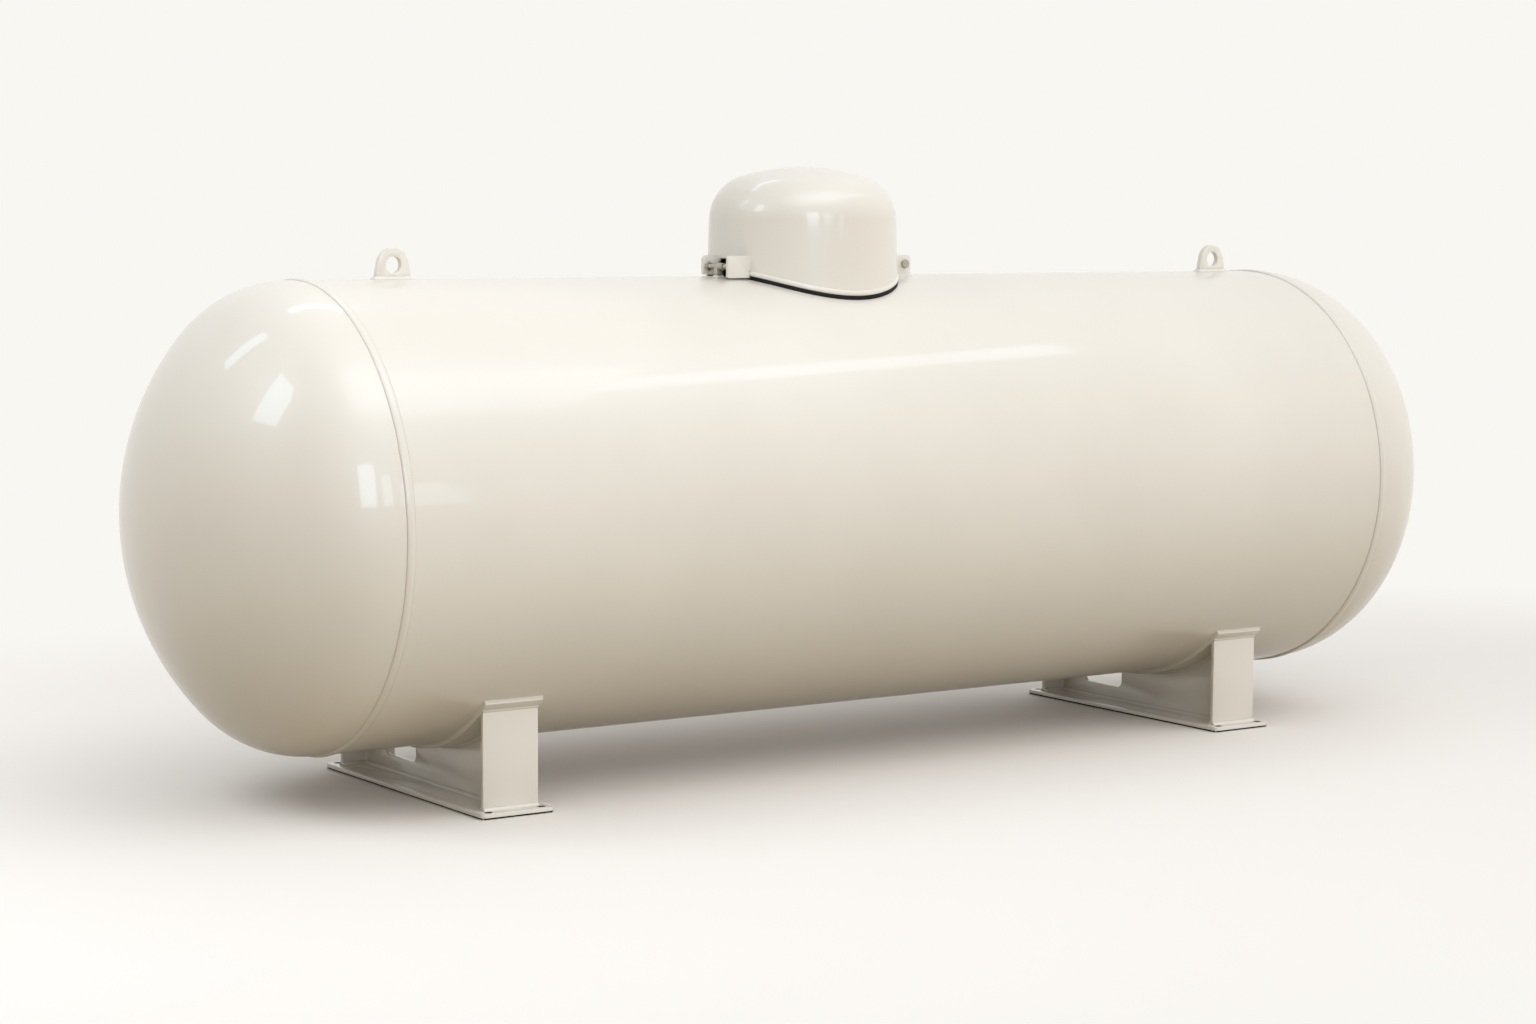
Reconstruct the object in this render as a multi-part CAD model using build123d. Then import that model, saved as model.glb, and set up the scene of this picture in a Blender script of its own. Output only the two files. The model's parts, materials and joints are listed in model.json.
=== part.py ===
from build123d import *
import math
import os

# Horizontal pressure tank on two welded saddles, in millimetres.
# The origin lies on the ground under the middle of the tank, +X runs along the tank and +Z points up.

# Vessel
TANK_DIAMETER = 950.0
SHELL_WALL = 6.5
SEAM_SPACING = 2542.0
HEAD_DEPTH = 334.0
HEAD_FLANGE = 15.0
HEAD_KNUCKLE_RADIUS = 214.0
HEAD_WALL = 6.5
GROUND_CLEARANCE = 105.0
SEAM_WIDTH = 20.0
SEAM_TOP_WIDTH = 8.0
SEAM_CROWN = 2.5

# Lifting lugs on the top line of the shell
LUG_LEFT_X = -1061.0
LUG_RIGHT_X = 1152.0
LUG_BASE_WIDTH = 76.0
LUG_TOP_RADIUS = 34.0
LUG_HOLE_RADIUS = 17.0
LUG_HOLE_HEIGHT = 29.0
LUG_THICKNESS = 14.0

# Saddles
SADDLE_SPACING = 1932.0
SADDLE_HALF_ANGLE = 40.2
BASE_PLATE_MARGIN_X = 20.0
BASE_PLATE_MARGIN_Y = 33.25
BASE_PLATE_THICKNESS = 12.0
BASE_PLATE_CORNER = 12.0
ANCHOR_HOLE_RADIUS = 9.0
ANCHOR_EDGE_X = 22.5
ANCHOR_EDGE_Y = 17.0
END_PLATE_WIDTH = 126.0
END_PLATE_THICKNESS = 10.0
WEB_THICKNESS = 10.0
NOTCH_CENTRE_Y = 150.0
NOTCH_WIDTH = 140.0
NOTCH_FLOOR = 32.0
NOTCH_CORNER_RADIUS = 16.0
WEAR_PLATE_THICKNESS = 8.0
WEAR_PLATE_MARGIN = 3.0
WEAR_PLATE_LIP = 24.0

# Hood over the fittings
HOOD_X = -50.0
HOOD_RIM_RADIUS = 209.5
HOOD_RIM_FLARE = 3.5
HOOD_KNUCKLE_RADIUS = 100.0
HOOD_CROWN_RADIUS = 450.0
HOOD_HEIGHT = 237.0
HOOD_WALL = 3.0
HOOD_RIM_GAP = 8.0
HOOD_LIP_HEIGHT = 10.0
HOOD_LIP_PROUD = 3.0
SEAL_THICKNESS = 7.0
SEAL_INSET = 1.0
SEAT_CLEARANCE = 0.3

# Hinge of the hood
HINGE_REACH = 28.5
HINGE_HEIGHT = 21.0
HINGE_FRONT_FACE_Y = -82.0
HINGE_BACK_FACE_Y = 23.0
HINGE_EAR_THICKNESS = 8.0
HINGE_EAR_TAIL = 12.5
HINGE_EAR_RISE = 24.0
HINGE_FRONT_CORNER = 5.0
HINGE_BACK_CORNER = 11.0
HINGE_EAR_GAP = 3.0
HINGE_TURN_GAP = 1.5
HINGE_WINDOW_HEIGHT = 38.0
HINGE_WINDOW_CORNER = 5.0
HINGE_BOLT_RADIUS = 5.0
HINGE_BLIND_DEPTH = 5.0
BARREL_BACK_Y = -19.5
BARREL_LENGTH = 29.0
BARREL_RADIUS = 7.5
BARREL_FOOT_LENGTH = 13.0
PIN_CLEARANCE = 0.05

# Latch of the hood
LATCH_BOLT_REACH = 37.0
LATCH_BOLT_HEIGHT = 24.0
LATCH_EAR_FACE_Y = -45.0
LATCH_EAR_THICKNESS = 8.0
LATCH_EAR_REACH = 54.0
LATCH_EAR_HEIGHT = 44.0
LATCH_EAR_CORNER = 18.0
LATCH_EAR_GAP = 5.0
LATCH_BOLT_RADIUS = 5.0
LATCH_TAB_GAP = 5.0
LATCH_TAB_THICKNESS = 6.0
LATCH_TAB_WRAP = 14.0
LATCH_TAB_RISE = 13.0
LATCH_TAB_DROP = 9.0
LATCH_SLOT_CLEARANCE = 1.5
LATCH_NUT_GAP = 4.0

# Hexagons of both bolts
HEX_HALF_FLATS = 8.5
HEX_HEIGHT = 7.0
HEX_TURN = 30.0

# Fittings under the hood, placed from the middle of the hood
COLLAR_RADIUS = 34.0
COLLAR_HEIGHT = 26.0
FITTING_REACH_X = 80.0
FITTING_REACH_Y = 74.0
RELIEF_HEX = (26.0, 18.0)
RELIEF_STEPS = [(25.0, 48.0), (28.0, 8.0)]
RELIEF_CAP = (31.0, 14.0)
FILL_HEX = (24.0, 18.0)
FILL_STEPS = [(21.0, 22.0)]
FILL_CAP_RADIUS = 31.0
FILL_CAP_HEIGHT = 28.0
VALVE_HEX = (19.0, 14.0)
VALVE_STEPS = [(16.0, 36.0), (11.0, 14.0), (5.0, 14.0)]
VALVE_OUTLET_RADIUS = 12.0
VALVE_OUTLET_BORE = 7.0
VALVE_OUTLET_REACH = 42.0
VALVE_OUTLET_HEIGHT = 32.0
HANDWHEEL_RADIUS = 30.0
HANDWHEEL_THICKNESS = 9.0
HANDWHEEL_HUB = (10.0, 4.0)
GRIP_COUNT = 8
GRIP_RADIUS = 9.0
GRIP_DEPTH = 4.0
GAUGE_STEPS = [(40.0, 11.0), (27.0, 9.0), (18.0, 3.0)]
GAUGE_SCREW_CIRCLE = 33.0
GAUGE_SCREW = (4.0, 5.0)

tank_radius = TANK_DIAMETER / 2
axis_height = GROUND_CLEARANCE + tank_radius
shell_top = axis_height + tank_radius
wear_radius = tank_radius + WEAR_PLATE_THICKNESS
end_plate_face_y = wear_radius * math.sin(math.radians(SADDLE_HALF_ANGLE))
base_plate_width = END_PLATE_WIDTH + 2 * BASE_PLATE_MARGIN_X
base_plate_length = 2 * (end_plate_face_y + BASE_PLATE_MARGIN_Y)
hood_top = shell_top + HOOD_HEIGHT
rim_surface = tank_radius + HOOD_RIM_GAP
lip_radius = HOOD_RIM_RADIUS + HOOD_LIP_PROUD
shoulder_radius = HOOD_RIM_RADIUS - HOOD_RIM_FLARE
hinge_x = HOOD_X - HOOD_RIM_RADIUS - HINGE_REACH
hinge_z = shell_top + HINGE_HEIGHT
hinge_front_inner_y = HINGE_FRONT_FACE_Y + HINGE_EAR_THICKNESS
hinge_back_inner_y = HINGE_BACK_FACE_Y - HINGE_EAR_THICKNESS
latch_x = HOOD_X + HOOD_RIM_RADIUS + LATCH_BOLT_REACH
latch_z = shell_top + LATCH_BOLT_HEIGHT
collar_top = shell_top + COLLAR_HEIGHT


def lying(radius):
    """A solid round bar on the tank's axis, longer than the tank."""
    length = SEAM_SPACING + 2 * HEAD_DEPTH
    return Pos(0, 0, axis_height) * Rot(0, 90, 0) * Cylinder(radius, length)


def upright(radius):
    """A solid round bar on the hood's axis, from the tank's axis to above the hood."""
    height = tank_radius + 2 * HOOD_HEIGHT
    return Pos(HOOD_X, 0, axis_height + height / 2) * Cylinder(radius, height)


def across(outline, y_low, y_high):
    """An outline drawn in X and Z, made solid between two values of Y."""
    return Pos(0, y_high, 0) * extrude(outline, y_high - y_low)


def along_y(x, z, radius, y_low, y_high):
    """A solid round bar parallel to Y."""
    return across(Plane.XZ * Pos(x, z) * Circle(radius), y_low, y_high)


def hexagon_y(x, z, y_low, y_high):
    """A hexagonal bolt head or nut blank with its axis parallel to Y and a corner on top."""
    shape = RegularPolygon(HEX_HALF_FLATS, 6, major_radius=False, rotation=HEX_TURN)
    return across(Plane.XZ * Pos(x, z) * shape, y_low, y_high)


def dished(radius, depth, knuckle):
    """A solid head on the right-hand seam: a flange, a round knuckle and a spherical crown."""
    mouth = SEAM_SPACING / 2
    bend = mouth + HEAD_FLANGE
    pole = mouth + depth
    rise = depth - HEAD_FLANGE
    crown = (radius**2 + rise**2 - 2 * radius * knuckle) / (2 * (rise - knuckle))
    lean = math.degrees(math.atan2(radius - knuckle, crown - rise))
    with BuildSketch(Plane.XZ) as section:
        with BuildLine():
            Line((mouth, 0), (mouth, radius))
            Line((mouth, radius), (bend, radius))
            CenterArc((bend, radius - knuckle), knuckle, lean, 90 - lean)
            CenterArc((pole - crown, 0), crown, 0, lean)
            Line((pole, 0), (mouth, 0))
        make_face()
    return Pos(0, 0, axis_height) * revolve(section.sketch, Axis.X)


def make_shell():
    tube = Circle(tank_radius) - Circle(tank_radius - SHELL_WALL)
    body = extrude(Plane.YZ * tube, SEAM_SPACING / 2, both=True)
    return Pos(0, 0, axis_height) * body


def make_head():
    outside = dished(tank_radius, HEAD_DEPTH, HEAD_KNUCKLE_RADIUS)
    inside = dished(tank_radius - HEAD_WALL, HEAD_DEPTH - HEAD_WALL, HEAD_KNUCKLE_RADIUS - HEAD_WALL)
    return outside - inside


def make_seam_weld():
    """The raised bead of the girth weld, a low ridge with sloping sides."""
    seam = SEAM_SPACING / 2
    crest = tank_radius + SEAM_CROWN
    corners = [
        (seam - SEAM_WIDTH / 2, tank_radius),
        (seam - SEAM_TOP_WIDTH / 2, crest),
        (seam + SEAM_TOP_WIDTH / 2, crest),
        (seam + SEAM_WIDTH / 2, tank_radius),
    ]
    section = make_face(Polyline(corners, close=True))
    return Pos(0, 0, axis_height) * revolve(Plane.XZ * section, Axis.X)


def make_lug(x):
    """A plate with a round top and an eye, standing on the top line of the shell."""
    eye = Pos(x, shell_top + LUG_HOLE_HEIGHT)
    with BuildSketch(Plane.XZ) as outline:
        with Locations(eye):
            Circle(LUG_TOP_RADIUS)
        with Locations((x, shell_top)):
            Rectangle(LUG_BASE_WIDTH, 2 * LUG_THICKNESS)
        make_hull()
        with Locations(eye):
            Circle(LUG_HOLE_RADIUS, mode=Mode.SUBTRACT)
    return across(outline.sketch, -LUG_THICKNESS / 2, LUG_THICKNESS / 2) - lying(tank_radius)


def make_base_plate(x):
    """The foot of a saddle, with an anchor hole near each rounded corner."""
    spacing_x = base_plate_width - 2 * ANCHOR_EDGE_X
    spacing_y = base_plate_length - 2 * ANCHOR_EDGE_Y
    holes = GridLocations(spacing_x, spacing_y, 2, 2) * Circle(ANCHOR_HOLE_RADIUS)
    plate = RectangleRounded(base_plate_width, base_plate_length, BASE_PLATE_CORNER) - holes
    return Pos(x, 0, 0) * extrude(plate, BASE_PLATE_THICKNESS)


def make_web(x):
    """The upright plate between the end plates, hollowed to the wear plate and notched on one side."""
    half_width = end_plate_face_y - END_PLATE_THICKNESS
    notch_height = axis_height - NOTCH_FLOOR - BASE_PLATE_THICKNESS
    notch_middle = BASE_PLATE_THICKNESS + NOTCH_FLOOR + notch_height / 2
    web = Pos(0, axis_height / 2 + BASE_PLATE_THICKNESS / 2) * Rectangle(
        2 * half_width, axis_height - BASE_PLATE_THICKNESS
    )
    web -= Pos(0, axis_height) * Circle(wear_radius)
    web -= Pos(NOTCH_CENTRE_Y, notch_middle) * RectangleRounded(
        NOTCH_WIDTH, notch_height, NOTCH_CORNER_RADIUS
    )
    return Pos(x, 0, 0) * extrude(Plane.YZ * web, WEB_THICKNESS / 2, both=True)


def make_end_plate(x, side):
    """The upright plate that closes one end of the web, its top cut to the wear plate."""
    height = axis_height - BASE_PLATE_THICKNESS
    y = side * (end_plate_face_y - END_PLATE_THICKNESS / 2)
    block = Pos(x, y, BASE_PLATE_THICKNESS + height / 2) * Box(END_PLATE_WIDTH, END_PLATE_THICKNESS, height)
    return block - lying(wear_radius)


def make_wear_plate(x):
    """The curved band between the saddle and the shell, ending a lip's length past the end plates."""
    half_width = END_PLATE_WIDTH / 2 + WEAR_PLATE_MARGIN
    half_angle = SADDLE_HALF_ANGLE + math.degrees(WEAR_PLATE_LIP / wear_radius)
    with BuildSketch(Plane.YZ) as section:
        with BuildLine():
            outer = CenterArc((0, axis_height), wear_radius, 270 - half_angle, 2 * half_angle)
            inner = CenterArc((0, axis_height), tank_radius, 270 - half_angle, 2 * half_angle)
            Line(outer @ 0, inner @ 0)
            Line(outer @ 1, inner @ 1)
        make_face()
    return Pos(x, 0, 0) * extrude(section.sketch, half_width, both=True)


def hood_form(inset):
    """The hood as a solid that stands on the level of the tank's axis, its skin moved in by inset."""
    crown_centre = hood_top - HOOD_CROWN_RADIUS
    knuckle_x = shoulder_radius - HOOD_KNUCKLE_RADIUS
    spread = HOOD_CROWN_RADIUS - HOOD_KNUCKLE_RADIUS
    knuckle_z = crown_centre + math.sqrt(spread**2 - knuckle_x**2)
    lean = math.degrees(math.asin(knuckle_x / spread))
    shoulder = (shoulder_radius - inset, knuckle_z)
    foot = (HOOD_RIM_RADIUS - inset, axis_height)
    with BuildSketch(Plane.XZ) as section:
        with BuildLine():
            Line((0, axis_height), foot)
            Line(foot, shoulder)
            CenterArc((knuckle_x, knuckle_z), HOOD_KNUCKLE_RADIUS - inset, 0, 90 - lean)
            CenterArc((0, crown_centre), HOOD_CROWN_RADIUS - inset, 90 - lean, lean)
            Line((0, hood_top - inset), (0, axis_height))
        make_face()
    return Pos(HOOD_X, 0, 0) * revolve(section.sketch, Axis.Z)


def rim_band(inner_radius, outer_radius, low_surface, high_surface):
    """A ring about the hood's axis, between two surfaces that follow the shell."""
    ring = upright(outer_radius) - upright(inner_radius)
    return (ring & lying(high_surface)) - lying(low_surface)


def make_hood_lip():
    inner_radius = HOOD_RIM_RADIUS - HOOD_WALL
    return rim_band(inner_radius, lip_radius, rim_surface, rim_surface + HOOD_LIP_HEIGHT)


def hinge_window():
    """The opening in the hood's wall between the hinge's ears, with rounded upper corners."""
    low = axis_height
    high = shell_top + HINGE_WINDOW_HEIGHT
    centre = ((hinge_front_inner_y + hinge_back_inner_y) / 2, (low + high) / 2)
    with BuildSketch(Plane.YZ) as outline:
        with Locations(centre):
            Rectangle(hinge_back_inner_y - hinge_front_inner_y, high - low)
        fillet(outline.vertices().group_by(Axis.Y)[-1], HINGE_WINDOW_CORNER)
    return Pos(HOOD_X, 0, 0) * extrude(outline.sketch, -2 * HOOD_RIM_RADIUS)


def make_hood_shell():
    """The hood's round wall and domed top, cut to the shell, with a thicker lip along the cut."""
    skin = hood_form(0) - hood_form(HOOD_WALL) - lying(rim_surface)
    return skin + make_hood_lip() - hinge_window()


def make_rim_seal():
    outer_radius = lip_radius - SEAL_INSET
    inner_radius = outer_radius - SEAL_THICKNESS
    return rim_band(inner_radius, outer_radius, tank_radius + SEAT_CLEARANCE, rim_surface) - hinge_window()


def surface_z(y):
    """The height of the shell's outside above one value of Y."""
    return axis_height + math.sqrt(tank_radius**2 - y**2)


def make_hinge_ear(y_low, y_high, corner):
    """A plate on the hood's wall that carries the hinge bolt, rounded below to turn clear of the shell."""
    surface = surface_z(min(abs(y_low), abs(y_high)))
    low = surface + HINGE_EAR_GAP
    high = hinge_z + HINGE_EAR_RISE
    left = hinge_x - HINGE_EAR_TAIL
    heel = hinge_z - surface - HINGE_TURN_GAP
    plate = Pos((left + HOOD_X) / 2, (low + high) / 2) * Rectangle(HOOD_X - left, high - low)
    plate = fillet(plate.vertices().group_by(Axis.Y)[-1].sort_by(Axis.X)[0], corner)
    below = Pos(hinge_x - heel / 2, hinge_z - heel / 2) * Rectangle(heel, heel)
    plate -= below - Pos(hinge_x, hinge_z) * Circle(heel)
    return across(Plane.XZ * plate, y_low, y_high) - hood_form(0) - make_hood_lip() - make_rim_seal()


def make_hinge_ear_front():
    ear = make_hinge_ear(HINGE_FRONT_FACE_Y, hinge_front_inner_y, HINGE_FRONT_CORNER)
    hole_radius = HINGE_BOLT_RADIUS + PIN_CLEARANCE
    bore_end = hinge_front_inner_y - HINGE_BLIND_DEPTH
    return ear - along_y(hinge_x, hinge_z, hole_radius, bore_end, hinge_front_inner_y)


def make_hinge_ear_back():
    ear = make_hinge_ear(hinge_back_inner_y, HINGE_BACK_FACE_Y, HINGE_BACK_CORNER)
    hole_radius = HINGE_BOLT_RADIUS + PIN_CLEARANCE
    return ear - along_y(hinge_x, hinge_z, hole_radius, hinge_back_inner_y, HINGE_BACK_FACE_Y)


def make_hinge_bolt():
    tip = hinge_front_inner_y - HINGE_BLIND_DEPTH
    head_end = HINGE_BACK_FACE_Y + HEX_HEIGHT
    shank = along_y(hinge_x, hinge_z, HINGE_BOLT_RADIUS, tip, HINGE_BACK_FACE_Y)
    return shank + hexagon_y(hinge_x, hinge_z, HINGE_BACK_FACE_Y, head_end)


def make_hinge_nut():
    """The locking nut on the near side of the back ear."""
    face = hinge_back_inner_y
    bore = along_y(hinge_x, hinge_z, HINGE_BOLT_RADIUS + PIN_CLEARANCE, face - HEX_HEIGHT, face)
    return hexagon_y(hinge_x, hinge_z, face - HEX_HEIGHT, face) - bore


def make_hinge_knuckle():
    """The barrel in which the hinge bolt turns, between the ears, on a foot that stands on the shell."""
    front_y = BARREL_BACK_Y - BARREL_LENGTH
    foot_front_y = BARREL_BACK_Y - BARREL_FOOT_LENGTH
    inside_z = axis_height + tank_radius / 2
    foot = Pos(hinge_x, (inside_z + hinge_z) / 2) * Rectangle(2 * BARREL_RADIUS, hinge_z - inside_z)
    body = across(Plane.XZ * foot, foot_front_y, BARREL_BACK_Y) - lying(tank_radius)
    body += along_y(hinge_x, hinge_z, BARREL_RADIUS, front_y, BARREL_BACK_Y)
    return body - along_y(hinge_x, hinge_z, HINGE_BOLT_RADIUS + PIN_CLEARANCE, front_y, BARREL_BACK_Y)


def make_latch_ear():
    """The plate on the shell that holds the latch bolt beside the hood."""
    y_high = LATCH_EAR_FACE_Y + LATCH_EAR_THICKNESS
    left = HOOD_X + math.sqrt(lip_radius**2 - y_high**2) + LATCH_EAR_GAP
    right = HOOD_X + HOOD_RIM_RADIUS + LATCH_EAR_REACH
    low = shell_top - LATCH_EAR_THICKNESS
    high = shell_top + LATCH_EAR_HEIGHT
    with BuildSketch(Plane.XZ) as outline:
        with Locations(((left + right) / 2, (low + high) / 2)):
            Rectangle(right - left, high - low)
        fillet(outline.vertices().group_by(Axis.Z)[-1].sort_by(Axis.X)[-1], LATCH_EAR_CORNER)
        with Locations((latch_x, latch_z)):
            Circle(LATCH_BOLT_RADIUS + PIN_CLEARANCE, mode=Mode.SUBTRACT)
    return across(outline.sketch, LATCH_EAR_FACE_Y, y_high) - lying(tank_radius)


def latch_nut_face():
    """The Y at which the latch nut starts, behind the hood's tab."""
    tab_back = LATCH_EAR_FACE_Y + LATCH_EAR_THICKNESS + LATCH_TAB_GAP + LATCH_TAB_THICKNESS
    return tab_back + LATCH_NUT_GAP


def make_latch_bolt():
    tip = latch_nut_face() + HEX_HEIGHT
    shank = along_y(latch_x, latch_z, LATCH_BOLT_RADIUS, LATCH_EAR_FACE_Y, tip)
    head_end = LATCH_EAR_FACE_Y - HEX_HEIGHT
    return shank + hexagon_y(latch_x, latch_z, head_end, LATCH_EAR_FACE_Y)


def make_latch_nut():
    face = latch_nut_face()
    bore = along_y(latch_x, latch_z, LATCH_BOLT_RADIUS + PIN_CLEARANCE, face, face + HEX_HEIGHT)
    return hexagon_y(latch_x, latch_z, face, face + HEX_HEIGHT) - bore


def make_latch_tab():
    """The plate on the hood's wall, slotted from below to drop over the latch bolt."""
    low_y = LATCH_EAR_FACE_Y + LATCH_EAR_THICKNESS + LATCH_TAB_GAP
    left = HOOD_X + shoulder_radius - 2 * HOOD_WALL
    right = latch_x + LATCH_TAB_WRAP
    low = latch_z - LATCH_TAB_DROP
    high = latch_z + LATCH_TAB_RISE
    slot_radius = LATCH_BOLT_RADIUS + LATCH_SLOT_CLEARANCE
    with BuildSketch(Plane.XZ) as outline:
        with Locations(((left + right) / 2, (low + high) / 2)):
            Rectangle(right - left, high - low)
        with Locations((latch_x, latch_z)):
            Circle(slot_radius, mode=Mode.SUBTRACT)
        with Locations((latch_x, latch_z - LATCH_TAB_DROP / 2)):
            Rectangle(2 * slot_radius, LATCH_TAB_DROP, mode=Mode.SUBTRACT)
    plate = across(outline.sketch, low_y, low_y + LATCH_TAB_THICKNESS)
    return plate - hood_form(0) - make_hood_lip()


def fitting_place(side_x, side_y):
    """The middle of one fitting's collar, at the level of the collar's top."""
    return Pos(HOOD_X + side_x * FITTING_REACH_X, side_y * FITTING_REACH_Y, collar_top)


def stacked(steps, level=0.0):
    """Round discs of (radius, height), one on another."""
    body = Part()
    for radius, height in steps:
        body += Pos(0, 0, level + height / 2) * Cylinder(radius, height)
        level += height
    return body


def height_of(steps):
    return sum(height for radius, height in steps)


def hex_foot(size, steps):
    """A hexagon for the spanner, of (half the width across flats, height), with round discs on it."""
    half_flats, height = size
    foot = extrude(RegularPolygon(half_flats, 6, major_radius=False), height)
    return foot + stacked(steps, height)


def fluted(radius, height, level):
    """A round grip with shallow hollows for the fingers round its edge."""
    hollows = PolarLocations(radius + GRIP_RADIUS - GRIP_DEPTH, GRIP_COUNT) * Circle(GRIP_RADIUS)
    return Pos(0, 0, level) * extrude(Circle(radius) - hollows, height)


def make_collars():
    """The five round pads on which the fittings are screwed."""
    places = [fitting_place(x, y) for x, y in [(1, 1), (-1, 1), (1, -1), (-1, -1), (0, 0)]]
    column = Pos(0, 0, -tank_radius / 2) * Cylinder(COLLAR_RADIUS, tank_radius)
    return Compound([(place * column - lying(tank_radius)).solid() for place in places])


def make_handwheel():
    """A fluted wheel with a low hub, on top of the valve's stem."""
    level = VALVE_HEX[1] + height_of(VALVE_STEPS)
    wheel = fluted(HANDWHEEL_RADIUS, HANDWHEEL_THICKNESS, level)
    return wheel + stacked([HANDWHEEL_HUB], level + HANDWHEEL_THICKNESS)


def make_valve():
    """A stop valve: a hexagon, a stepped body with its stem, and a short outlet that is open at its end."""
    body_radius = VALVE_STEPS[0][0]
    outlet = along_y(0, VALVE_OUTLET_HEIGHT, VALVE_OUTLET_RADIUS, 0, VALVE_OUTLET_REACH)
    bore = along_y(0, VALVE_OUTLET_HEIGHT, VALVE_OUTLET_BORE, body_radius, VALVE_OUTLET_REACH)
    return hex_foot(VALVE_HEX, VALVE_STEPS) + outlet - bore


def make_gauge():
    """The float gauge's flange, four screws and a round dial."""
    flange_top = GAUGE_STEPS[0][1]
    radius, height = GAUGE_SCREW
    screw = Pos(0, 0, flange_top + height / 2) * Cylinder(radius, height)
    return stacked(GAUGE_STEPS) + PolarLocations(GAUGE_SCREW_CIRCLE, 4) * screw


def build_nodes():
    """Every piece of the tank by its name."""
    head = make_head()
    weld = make_seam_weld()
    nodes = {
        "shell": make_shell(),
        "head_right": head,
        "head_left": mirror(head, Plane.YZ),
        "seam_weld_right": weld,
        "seam_weld_left": mirror(weld, Plane.YZ),
        "lifting_lug_left": make_lug(LUG_LEFT_X),
        "lifting_lug_right": make_lug(LUG_RIGHT_X),
    }
    for side, x in (("left", -SADDLE_SPACING / 2), ("right", SADDLE_SPACING / 2)):
        nodes[f"saddle_{side}_base_plate"] = make_base_plate(x)
        nodes[f"saddle_{side}_web"] = make_web(x)
        nodes[f"saddle_{side}_end_plate_front"] = make_end_plate(x, -1)
        nodes[f"saddle_{side}_end_plate_back"] = make_end_plate(x, 1)
        nodes[f"saddle_{side}_wear_plate"] = make_wear_plate(x)
    nodes["hood_shell"] = make_hood_shell()
    nodes["hood_rim_seal"] = make_rim_seal()
    nodes["hood_hinge_knuckle"] = make_hinge_knuckle()
    nodes["hood_latch_tab"] = make_latch_tab()
    nodes["hinge_ear_front"] = make_hinge_ear_front()
    nodes["hinge_ear_back"] = make_hinge_ear_back()
    nodes["hinge_bolt"] = make_hinge_bolt()
    nodes["hinge_nut"] = make_hinge_nut()
    nodes["latch_ear"] = make_latch_ear()
    nodes["latch_bolt"] = make_latch_bolt()
    nodes["latch_nut"] = make_latch_nut()
    nodes["fitting_collars"] = make_collars()
    relief = fitting_place(1, 1)
    nodes["relief_valve"] = relief * hex_foot(RELIEF_HEX, RELIEF_STEPS)
    nodes["relief_valve_cap"] = relief * stacked([RELIEF_CAP], RELIEF_HEX[1] + height_of(RELIEF_STEPS))
    filler = fitting_place(-1, 1)
    nodes["fill_valve"] = filler * hex_foot(FILL_HEX, FILL_STEPS)
    cap_level = FILL_HEX[1] + height_of(FILL_STEPS)
    nodes["fill_valve_cap"] = filler * fluted(FILL_CAP_RADIUS, FILL_CAP_HEIGHT, cap_level)
    service = fitting_place(1, -1)
    nodes["vapour_valve"] = service * make_valve()
    nodes["vapour_valve_handwheel"] = service * make_handwheel()
    liquid = fitting_place(-1, -1)
    nodes["liquid_valve"] = liquid * make_valve()
    nodes["liquid_valve_handwheel"] = liquid * make_handwheel()
    nodes["float_gauge"] = fitting_place(0, 0) * make_gauge()
    return nodes


os.makedirs("parts", exist_ok=True)
for name, piece in build_nodes().items():
    export_step(piece, f"parts/{name}.step")
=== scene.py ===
"""The looks of a horizontal pressure tank: skins, weld beads, rounded plates, paint, light, camera."""

import json
import math

import bmesh
import bpy
from mathutils import Matrix, Vector, noise


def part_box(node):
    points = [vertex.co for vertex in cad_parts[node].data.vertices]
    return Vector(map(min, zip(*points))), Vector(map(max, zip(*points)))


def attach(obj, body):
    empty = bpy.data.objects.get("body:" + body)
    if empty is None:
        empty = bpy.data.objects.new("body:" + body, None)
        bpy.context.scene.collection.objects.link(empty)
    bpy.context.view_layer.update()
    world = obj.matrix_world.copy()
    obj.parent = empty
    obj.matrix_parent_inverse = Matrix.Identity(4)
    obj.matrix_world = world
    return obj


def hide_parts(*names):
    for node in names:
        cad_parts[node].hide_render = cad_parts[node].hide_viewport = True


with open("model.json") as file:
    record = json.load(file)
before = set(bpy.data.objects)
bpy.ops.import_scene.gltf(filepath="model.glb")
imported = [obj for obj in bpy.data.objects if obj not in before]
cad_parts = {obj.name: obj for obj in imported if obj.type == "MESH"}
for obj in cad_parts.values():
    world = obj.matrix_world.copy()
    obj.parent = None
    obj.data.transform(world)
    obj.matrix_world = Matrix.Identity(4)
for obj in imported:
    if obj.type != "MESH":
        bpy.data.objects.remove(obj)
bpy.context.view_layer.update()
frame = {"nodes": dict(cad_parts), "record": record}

# Smoothing, in degrees, and how close counts as touching, in metres
SKIN_CREASE = 40
HOOD_CREASE = 45
PLATE_CREASE = 32
PACKED_CREASE = 28
BEVEL_CREASE = 35
FLAT_CREASE = 0.5
TOUCH = 1e-4

# Vessel, in metres
TANK_RADIUS = 0.475
SHELL_WALL = 0.0065
AXIS_Z = 0.580
SEAM_X = 1.271
HEAD_DEPTH = 0.334
HEAD_FLANGE = 0.015
HEAD_KNUCKLE = 0.214
ROUND_STEPS = 288
SHELL_TOP = AXIS_Z + TANK_RADIUS

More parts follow.
